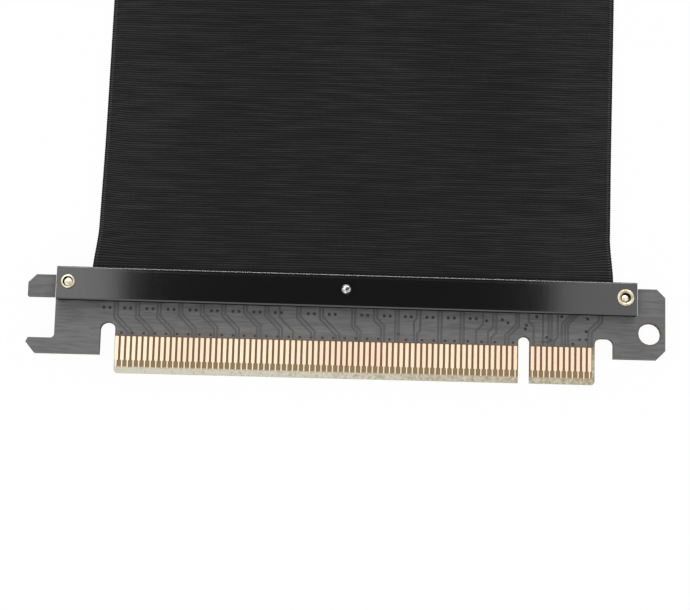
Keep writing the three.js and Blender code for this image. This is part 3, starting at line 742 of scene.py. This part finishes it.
def steel_finish(name, middle, angle, sleeve_side):
    """Gloss black paint with fine rubs along the bar. A grey painted highlight runs along the folds,
    with a fainter grey press mark beside the sleeve-side fold, and the bare cut ends carry a pale
    painted highlight. The folds and ends are found by their distance from the middle line of the bar's top."""
    finish = Finish(name, Specular_IOR_Level=0.78)
    ripple = finish.noise(0.04, (1, 1, 1), 2)
    rub = finish.noise(1.4, (2.5, 0.15, 1), 3)
    bare_end_highlight = abs(finish.x - middle[0]).step_up(CLAMP_LENGTH / 2 - END_SOFT * 0.7, 0.04)
    to_sleeve = (finish.y - middle[1] - (finish.x - middle[0]) * math.tan(angle)) * sleeve_side
    off_line = abs(to_sleeve + FLANGE_LEAN / 2)
    half = (CLAMP_WIDTH + FLANGE_LEAN) / 2
    fold = off_line.between(half - FOLD * 0.9, half - FOLD * 0.1, 0.08)
    mark_at = CLAMP_WIDTH / 2 - PRESS_MARK
    pressed = to_sleeve.between(mark_at, mark_at + PRESS_MARK_WIDTH, 0.08)
    # The grey on the folds is a painted highlight; the press mark adds a fainter grey line.
    fold_highlight_and_mark = (fold + pressed * 0.4) * (rub * 0.5 + 0.5)
    colour = finish.colour_mix(fold_highlight_and_mark, PAINT, PAINT_HIGHLIGHT_AND_MARK)
    # The near-white on the bare cut ends is a painted highlight.
    finish.set("Base Color", finish.colour_mix(bare_end_highlight, colour, BARE_STEEL_HIGHLIGHT))
    finish.set("Roughness", rub * 0.05 + fold_highlight_and_mark * 0.12 + bare_end_highlight * 0.4 + 0.05)
    finish.bump(ripple + rub * 0.01, 0.02, 0.5)
    return finish.material


def primer_finish():
    """Thin dull paint on the upright sides, where the gloss coat hardly reached."""
    finish = Finish("bar_primer", Specular_IOR_Level=0.0)
    speck = finish.noise(3.0)
    finish.set("Base Color", finish.colour_mix(speck, grey(16), grey(26)))
    finish.set("Roughness", speck * 0.2 + 0.7)
    finish.bump(speck, 0.01, 0.5)
    return finish.material


def paint_sides(piece, finish):
    """Gives a second material to the faces of a bar that stand upright along it."""
    mesh = piece.data
    mesh.materials.append(finish)
    normals = np.zeros(len(mesh.polygons) * 3)
    mesh.polygons.foreach_get("normal", normals)
    across, up = np.abs(normals.reshape(-1, 3)[:, 1:]).T
    mesh.polygons.foreach_set("material_index", ((across > 0.9) & (up < 0.2)).astype(int))


PAINT = grey(24)
# This grey is a painted highlight on the folds, and fainter on the press mark.
PAINT_HIGHLIGHT_AND_MARK = grey(58)
# This near-white is a painted highlight on the bare cut ends of the bars.
BARE_STEEL_HIGHLIGHT = grey(235)
primer = primer_finish()
for end, sleeve_side in (("plug", 1), ("socket", -1)):
    middle, angle = clamp_turn(end)
    steel = steel_finish(f"{end}_bar_steel", middle, angle, sleeve_side)
    bar = bar_shape()
    if sleeve_side < 0:
        points, faces = bar
        bar = points * [1, -1, 1], [face[::-1] for face in faces]
    front = placed(moved(bar, (0, 0, BOARD_HIGH)), middle, angle)
    back = upside_down(front, BOARD_MIDDLE)
    across = np.array([math.cos(angle), math.sin(angle)]) * EYELET_X
    drilled_places = [
        (*(middle[:2] + across * side), radius)
        for side, radius in ((-1, EYELET_DRILL), (0, CENTRE_DRILL), (1, EYELET_DRILL))
    ]
    for face, shape in (("front", front), ("back", back)):
        name = f"{end}_{face}_bar"
        piece = make_piece(f"{name}_folded", shape, steel, replaces=[name])
        paint_sides(piece, primer)
        drill(piece, drilled_places)

# %% [markdown]
# The two rivets near the ends of each clamp are hollow at the front, where they are rolled out over
# the bar. The middle one is solid with a small bright dome. All are profiles carried round an axis.

# %% Rivets
EYELET_BORE_DEPTH = 1.7
PIN_DEPTH = 0.25
EYELET_BARREL = 0.95
EYELET_FOOT = 1.25
# Radius of the rim, of the bore and of the pin in it, and how far the pin leans aside in x and y.
EYELET_FORMS = {"left": (1.25, 0.88, 0.76, (0.08, -0.07)), "right": (1.5, 0.84, 0.62, (-0.14, -0.13))}
FLANGE_RISE = 0.35
FUNNEL_DEPTH = 0.3
PUNCH_OFFSET = np.array([0.16, -0.16, 0])
RIVET_SIDES = 48
BAR_TOP = BOARD_HIGH + CLAMP_RISE


def roll(centre_r, centre_z, radius, start, end, steps=7):
    """A round stretch of a profile, from one angle to another in degrees."""
    angle = np.radians(np.linspace(start, end, steps))
    return np.column_stack([centre_r + radius * np.cos(angle), centre_z + radius * np.sin(angle)])


def eyelet_shape(rim, bore, pin, aside):
    """Outside up from the foot, over the rolled rim, down the funnel to the bore's floor, and up
    again over the cut pin that the setting tool leaves there, a little aside."""
    curl = FLANGE_RISE / 2
    top = BAR_TOP + FLANGE_RISE
    funnel = rim - 2 * curl - bore
    slope = roll(0, 0, 1, 90, 180) * [funnel, FUNNEL_DEPTH] + [bore + funnel, top - FUNNEL_DEPTH]
    floor = top - EYELET_BORE_DEPTH
    pin_top = top - PIN_DEPTH
    profile = np.concatenate([
        [[EYELET_FOOT - 0.15, 0.12], [EYELET_BARREL, 0.6], [EYELET_BARREL, BAR_TOP]],
        [[rim - curl, BAR_TOP + 0.005]],
        roll(rim - curl, BAR_TOP + curl, curl, -60, 100),
        slope,
        [[bore, floor + 0.02], [bore - 0.02, floor]],
        [[pin, floor], [pin, pin_top - 0.1], [pin - 0.03, pin_top - 0.03], [pin - 0.1, pin_top]],
    ])
    rings = turned(profile, RIVET_SIDES)
    rings[-4:, :, :2] += aside
    return loft(rings)


def centre_rivet_shape():
    """A shank in its countersink below and a dome above. The punch left its crown nearly flat and
    off the middle, so each ring is moved aside by its share of the way to the top."""
    slope = np.radians([84, 66, 50, 37, 26, 17, 9, 4, 1.5])
    radius = np.array([0.9, 0.86, 0.78, 0.68, 0.59, 0.5, 0.42, 0.34, 0.1])
    rise = np.concatenate([[0.0], np.cumsum(-np.diff(radius) * np.tan(slope[:-1]))])
    dome = np.column_stack([radius, BAR_TOP + 0.1 + rise])
    profile = np.concatenate([[[0.85, 0.12], [0.55, 0.6], [0.55, BAR_TOP], [0.9, BAR_TOP]], dome])
    rings = turned(profile, RIVET_SIDES)
    aside = np.concatenate([np.zeros(4), 1 - radius / radius[0]])
    return loft(rings + aside[:, None, None] * PUNCH_OFFSET)


def metal_finish(name, colour, tarnish_and_reflection, roughness, steep_shade, clean_share=0.6):
    """Bright metal with darker patches, and painted shade on its steep walls. The patches are tarnish on
    brass and tin, and a painted reflection on the bright rivet.
    """
    finish = Finish(name, Metallic=1.0)
    patch = finish.noise(1.3, (1, 1, 1), 4)
    clean = finish.colour_mix(patch.step_up(clean_share, 0.3), colour, tarnish_and_reflection)
    finish.set("Base Color", finish.colour_mix(finish.facing_up.step_up(0.3, 0.3), steep_shade, clean))
    finish.set("Roughness", patch * 0.2 + roughness)
    finish.bump(finish.noise(4.0), 0.006, 0.4)
    return finish.material


BRASS = shade(214, 206, 188)
BRASS_TARNISH = shade(170, 156, 130)
# The dark brown on the steep walls of each eyelet's bore and rim is painted shade.
BRASS_STEEP_SHADE = shade(66, 44, 22)
eyelet_brass = metal_finish("eyelet_brass", BRASS, BRASS_TARNISH, 0.25, BRASS_STEEP_SHADE, 0.52)
# On the bright rivet the dark grey patches are a painted reflection, and the dark steep edge is painted
# shade.
bright_rivet = metal_finish("bright_rivet", grey(238), grey(56), 0.03, grey(40), 0.54)
for end in ("plug", "socket"):
    middle, angle = clamp_turn(end)
    across = np.array([math.cos(angle), math.sin(angle), 0]) * EYELET_X
    floor_middle = np.array([middle[0], middle[1], 0])
    for side, place in (("left", floor_middle - across), ("right", floor_middle + across)):
        shape = moved(eyelet_shape(*EYELET_FORMS[side]), place)
        name = f"{end}_{side}_eyelet"
        make_piece(f"{name}_rolled", shape, eyelet_brass, 50, [name])
    shape = moved(centre_rivet_shape(), floor_middle)
    name = f"{end}_centre_rivet"
    make_piece(f"{name}_domed", shape, bright_rivet, 50, [name])

# %% [markdown]
# The sleeve is a flat woven tube with about 60 ribs to the inch running across it. They are real
# ridges here: four rows of points make one rib. Each row drifts a little along the cable, which
# gives the slightly wavy ribs of a real weave, and they curl towards the clamp near the selvedges.

# %% Sleeve
sleeve_low, sleeve_high = box_mm("woven_sleeve")
SLEEVE_CLAMP_WIDTH = 92.2
SLEEVE_WIDTH = 90.8
SLEEVE_BOW = 1.0
SLEEVE_TAPER = 9.0
SLEEVE_FALL = 26.0
HEM_PLAIN = 2.4
HALF_THICKNESS = 2.4
WALL = 0.5
RIB_PITCH = 0.415
RIB_HEIGHT = 0.085
RIB_ROWS = 4
AROUND = 48
sleeve_near, sleeve_far = sleeve_low[1], sleeve_high[1]


def ease(distance, length):
    """0 at the start and 1 past the length, level at both ends: t squared times 3 less 2 t."""
    t = np.clip(distance / length, 0, 1)
    return t * t * (3 - 2 * t)


def section_angles():
    """Angles round the section, closer together at the two round edges than on the flats."""
    t = np.arange(AROUND) / AROUND * 2 * np.pi
    return t - 0.28 * np.sin(2 * t)


def sleeve_middle(along):
    """The sleeve's middle bows to one side: half a sine wave from clamp to clamp."""
    share = (along - sleeve_near) / (sleeve_far - sleeve_near)
    return SLEEVE_OFFSET + 0.05 + SLEEVE_BOW * np.sin(np.pi * share)


def sleeve_half(along):
    """Half the sleeve's width, which eases in from the clamps."""
    from_clamp = np.minimum(along - sleeve_near, sleeve_far - along)
    return (SLEEVE_CLAMP_WIDTH - (SLEEVE_CLAMP_WIDTH - SLEEVE_WIDTH) * ease(from_clamp, SLEEVE_TAPER)) / 2


def sleeve_points(along, around, inward):
    """The tube's surface. Its height falls from the boards to the floor. Round it, the section is a
    flat oval: cosine and sine raised to small powers."""
    from_clamp = np.minimum(along - sleeve_near, sleeve_far - along)
    half = sleeve_half(along) - inward
    fall = (BOARD_MIDDLE - HALF_THICKNESS) * ease(from_clamp - HEM_PLAIN, SLEEVE_FALL)
    rise = HALF_THICKNESS - inward
    cosine = np.cos(around)
    sine = np.sin(around)
    flat_x = np.sign(cosine) * np.abs(cosine) ** 0.16
    flat_z = np.sign(sine) * np.abs(sine) ** 0.55
    return np.stack([
        sleeve_middle(along) + half * flat_x, along, BOARD_MIDDLE - fall + rise * flat_z
    ], axis=-1)


def rib_drift(along, across):
    """How far the weave runs off square: long waves, and a curl at the edges near the clamps."""
    waves = 0.22 * np.sin(across * 0.11 + along * 0.05) + 0.1 * np.sin(across * 0.31 - along * 0.13)
    edge = np.clip((np.abs(across - SLEEVE_OFFSET) - 39) / 7, 0, 1) ** 1.5
    from_near = np.exp(-(along - sleeve_near) / 40)
    from_far = np.exp(-(sleeve_far - along) / 40)
    return waves + 1.1 * edge * (from_near - from_far)


def sleeve_shape():
    """Points of the ribbed outside and the plain inside, and two marks for the material: rib goes
    from 0 in a groove to 1 on a crest, and from_edge is the distance from a selvedge."""
    ribs = int(round((sleeve_far - sleeve_near) / RIB_PITCH))
    rows = np.linspace(sleeve_near, sleeve_far, ribs * RIB_ROWS + 1)[:, None]
    rows, around = np.broadcast_arrays(rows, section_angles()[None, :])
    phase = (np.arange(rows.shape[0]) / RIB_ROWS)[:, None]
    from_clamp = np.minimum(rows - sleeve_near, sleeve_far - rows)
    crest = np.broadcast_to(0.5 - 0.5 * np.cos(2 * np.pi * phase), rows.shape)
    groove = RIB_HEIGHT * (0.35 + 0.65 * ease(from_clamp, 4.5)) * (1 - crest)
    flat = sleeve_points(rows, around, 0.0)
    drifted = rows + rib_drift(rows, flat[..., 0]) * ease(from_clamp, 6.0)
    outer = sleeve_points(drifted, around, groove)
    from_edge = sleeve_half(drifted) - np.abs(outer[..., 0] - sleeve_middle(drifted))
    inner_rows = np.linspace(sleeve_far, sleeve_near, 30)[:, None]
    inner_rows, inner_around = np.broadcast_arrays(inner_rows, section_angles()[None, :])
    inner = sleeve_points(inner_rows, inner_around, WALL)
    plain = np.zeros(inner_rows.shape)
    marks = {"rib": np.concatenate([crest, plain]), "from_edge": np.concatenate([from_edge, plain])}
    return np.concatenate([outer, inner]), marks


def rings_along_y(rings):
    """Rings stacked along Y run the other way round than rings stacked upwards."""
    return loft(rings[:, ::-1], joined=True)


YARN_GROOVE_SHADE = grey(8)
YARN_DARK = grey(40)
YARN_PALE = grey(60)
YARN_LOOP_HIGHLIGHT = grey(84)
YARN_EDGE = grey(10)


def fabric_finish():
    """Dull black yarn with painted shade in the grooves between the ribs, crossed by a fine warp. Just
    inside each selvedge a painted highlight stands for a row of small loops catching the light, and the
    edge beyond it is darker."""
    finish = Finish("sleeve_yarn", Roughness=0.85, Specular_IOR_Level=0.12)
    rib = finish.mark("rib")
    from_edge = finish.mark("from_edge")
    cloudy = finish.noise(0.05, (1, 1, 1), 3)
    yarn = finish.noise(1.0, (0.12, 1.7, 1), 3)
    warp = (finish.x * (2 * math.pi / 0.5)).sine() * 0.5 + 0.5
    tone = yarn * 0.6 + cloudy * 0.4 - from_edge.step_up(12, 24) * 0.15 + 0.05
    crest = finish.colour_mix(tone.step_up(0.5, 0.5), YARN_DARK, YARN_PALE)
    # The groove colour is painted shade in the hollows between the ribs.
    colour = finish.colour_mix(rib * (yarn * 0.8 + 0.5), YARN_GROOVE_SHADE, crest)
    # The paler loops just inside each selvedge are a painted highlight.
    loop_highlight = from_edge.between(0.45, 0.85, 0.12) * rib.step_up(0.6, 0.4)
    colour = finish.colour_mix(loop_highlight * 0.7, colour, YARN_LOOP_HIGHLIGHT)
    finish.set("Base Color", finish.colour_mix(from_edge.step_up(0.35, 0.15), YARN_EDGE, colour))
    finish.bump(yarn * 0.7 + warp * 0.3, 0.03, 0.7)
    return finish.material


sleeve_rings, sleeve_marks = sleeve_shape()
sleeve = make_piece(
    "ribbed_sleeve", rings_along_y(sleeve_rings), fabric_finish(), 180, ["woven_sleeve"],
    {name: values[:, ::-1].ravel() for name, values in sleeve_marks.items()},
)

# %% [markdown]
# Inside the sleeve lie the ribbons, flat and foil-grey, and amber tape covers their soldered ends.
# They show only through the open ends of the clamps.

# %% Ribbons and tape


def film_finish(name, colour, other, roughness, stretch):
    """Film over conductors: lines along the ribbon and slow changes of tone."""
    finish = Finish(name)
    lines = finish.noise(1.5, stretch, 3)
    cloudy = finish.noise(0.1)
    finish.set("Base Color", finish.colour_mix(lines * 0.6 + cloudy * 0.4, colour, other))
    finish.set("Roughness", cloudy * 0.2 + roughness)
    finish.bump(lines, 0.02)
    return finish.material


ribbon_film = film_finish("ribbon_film", grey(150), grey(190), 0.35, (2.0, 0.02, 1))
amber_tape = film_finish("amber_tape", shade(176, 122, 34), shade(206, 150, 58), 0.25, (0.3, 0.3, 1))
for name, node in nodes.items():
    finish = ribbon_film if "ribbon" in name else amber_tape if "tape" in name else None
    if finish:
        node.data.materials.clear()
        node.data.materials.append(finish)

# %% [markdown]
# The slot is moulded from glass-filled plastic. Two rows of gold springs stand in its mouth, one
# for each finger of a card, and their tails come out through the board in four rows of solder cones.

# %% Slot, springs and solder tails
slot_low, slot_high = box_mm("slot_housing")
slot_y = (slot_low[1] + slot_high[1]) / 2
MOUTH_DEPTH = 8.2
MOUTH_HALF_WIDTH = 0.95


def plastic_finish():
    """Fine-grained black moulding, a little paler where the glass comes to the surface."""
    finish = Finish("slot_moulding")
    grain = finish.noise(2.5, (1, 1, 1), 4)
    flow = finish.noise(0.06, (1, 3, 1), 3)
    finish.set("Base Color", finish.colour_mix(flow, grey(24), grey(36)))
    finish.set("Roughness", grain * 0.25 + 0.4)
    finish.bump(grain, 0.02, 0.6)
    return finish.material


nodes["slot_housing"].data.materials.clear()
nodes["slot_housing"].data.materials.append(plastic_finish())


def spring_shape(side):
    """A strip about 0.5 mm wide that bows from the wall of the mouth: its path in (y, z) is carried
    across its width, and it is 0.1 mm thick."""
    floor = slot_high[2] - MOUTH_DEPTH
    height = np.linspace(1.4, 7.4, 12)
    peak = np.exp(-((height - 5.2) / 1.4) ** 2)
    reach = MOUTH_HALF_WIDTH - 0.02 - 0.4 * peak + 0.25 * ease(height - 6.3, 1.1)
    path = np.column_stack([reach, floor + height])
    wide = 0.26
    corners = [(-wide, 0.0), (wide, 0.0), (wide, 0.1), (-wide, 0.1)]
    rings = np.stack([
        np.column_stack([np.full(len(path), x), path[:, 0] + depth, path[:, 1]]) for x, depth in corners
    ], axis=1)
    points, faces = loft(rings)
    if side < 0:
        return points * [1, -1, 1], [face[::-1] for face in faces]
    return points, faces


springs = together([copies(spring_shape(side), [(x, slot_y, 0) for x in finger_x]) for side in (1, -1)])
make_piece("slot_springs", springs, gold)


def tail_shape():
    """A cone of solder round a cut lead, under the board."""
    return loft(turned([(0.12, -1.7), (0.2, -1.62), (0.22, -0.8), (0.34, -0.3), (0.52, 0.0)], 10))


tin_finish = metal_finish("solder_tin", grey(205), grey(160), 0.22, grey(150))
tail_places = []
for side in (1, -1):
    for number, x in enumerate(finger_x):
        row = 1.25 if number % 2 else 3.0
        tail_places.append((x, slot_y + side * row, BOARD_LOW))
make_piece("solder_tails", copies(tail_shape(), tail_places), tin_finish)

SOCKET_TRACK_FOOT = slot_y - 4.4
socket_bar_low, _ = box_mm("socket_front_bar")
socket_paths = [
    [(x, socket_bar_low[1] + 1.0), (x, socket_bar_low[1] + 7.2), (x + lean, SOCKET_TRACK_FOOT - 1.2)]
    + [(x + lean, slot_y - 3.2)]
    for centre in np.linspace(-37, 37, 17)
    for x, lean in ((centre - PAIR_GAP / 2, 1.2), (centre + PAIR_GAP / 2, 1.2))
]
etch("socket_", socket_paths)

# %% [markdown]
# The cable lies on a plain pale floor. The floor is white to the camera but still takes a soft
# shadow, because only part of it glows. Light comes from two soft boxes overhead, left and right,
# and one in front. A dark card overhead, seen only in reflections, gives the gloss bar its black
# middle and grey ends. Two long strips, seen only in reflections too, draw the lines on its folds.

# %% Floor
FLOOR_GLOW = 0.97


def floor_material():
    finish = Finish("pale_floor", Specular_IOR_Level=0.1, Base_Color=(0.9, 0.9, 0.9, 1))
    finish.set("Roughness", finish.noise(0.01) * 0.1 + 0.85)
    glow = finish.node("ShaderNodeEmission", None, {"Color": (1, 1, 1, 1), "Strength": 1.0})
    share = finish.seen_by("Camera") * FLOOR_GLOW
    surface = Value(finish, finish.surface.outputs[0])
    mixed = finish.node("ShaderNodeMixShader", None, {0: share, 1: surface, 2: glow})
    finish.tree.links.new(mixed.socket, finish.tree.nodes["Material Output"].inputs[0])
    return finish.material


def flat_card(name, half_x, half_y, height, middle, finish):
    mesh = bpy.data.meshes.new(name)
    x, y = middle
    corners = [
        (x + right * half_x, y + back * half_y) for right, back in ((-1, -1), (1, -1), (1, 1), (-1, 1))
    ]
    mesh.from_pydata([(cx * MM, cy * MM, height * MM) for cx, cy in corners], [], [(0, 1, 2, 3)])
    mesh.materials.append(finish)
    card = bpy.data.objects.new(name, mesh)
    bpy.context.scene.collection.objects.link(card)
    return card


flat_card("floor", 6000, 6000, -0.02, (0, 0), floor_material())

# %% [markdown]
# The world lights the cable evenly, and looks white to the camera and in reflections.

# %% World and lamps
world = bpy.data.worlds.new("studio")
bpy.context.scene.world = world
world.use_nodes = True
AMBIENT = 0.46
background = world.node_tree.nodes["Background"]
background.inputs["Color"].default_value = (1, 1, 1, 1)
sky = Network(world.node_tree)
strength = sky.seen_by("Camera", "Glossy", "Transmission") * (1 - AMBIENT) + AMBIENT
sky.tree.links.new(strength.socket, background.inputs["Strength"])


def soft_box(name, place, target, width, height, radiance):
    """A rectangular lamp facing a target. Power is radiance times area times pi."""
    lamp = bpy.data.lights.new(name, "AREA")
    lamp.shape = "RECTANGLE"
    lamp.size = width * MM
    lamp.size_y = height * MM
    lamp.energy = radiance * lamp.size * lamp.size_y * math.pi
    box = bpy.data.objects.new(name, lamp)
    box.location = Vector(place) * MM
    facing = (Vector(target) - Vector(place)).to_track_quat("-Z", "Y")
    box.rotation_mode = "QUATERNION"
    box.rotation_quaternion = facing
    bpy.context.scene.collection.objects.link(box)
    return box


BAR_PLACE = (0, -110, 7)
soft_box("left_box", (-461, 90, 1000), (-461, 90, 0), 600, 600, 1.3)
soft_box("right_box", (421, 90, 1000), (421, 90, 0), 600, 600, 0.62)
for name, y, height, radiance in (("back_strip", 1100, 1100, 26.0), ("front_strip", -1100, 500, 0.5)):
    strip_lamp = soft_box(name, (0, y, height), BAR_PLACE, 1500, 200, radiance)
    strip_lamp.visible_diffuse = False
front_fill = soft_box("front_fill", (0, -550, 900), BAR_PLACE, 900, 500, 3.4)
front_fill.visible_glossy = False

# %% [markdown]
# The card's two ends fall where the dark middle of the bar begins and ends in the photograph.

# %% Dark card overhead
card_black = (0.004, 0.004, 0.004, 1)
card_finish = Finish("dark_card", Roughness=1.0, Specular_IOR_Level=0.0, Base_Color=card_black)
dark_card = flat_card("dark_card", 141, 120, 1000, (-20, 80), card_finish.material)
dark_card.visible_camera = False
dark_card.visible_diffuse = False
dark_card.visible_shadow = False
dark_card.visible_transmission = False

# %% [markdown]
# The colours above are display colours, so nothing bends them on their way to the picture.

# %% Colours as they are
bpy.context.scene.view_settings.view_transform = "Standard"
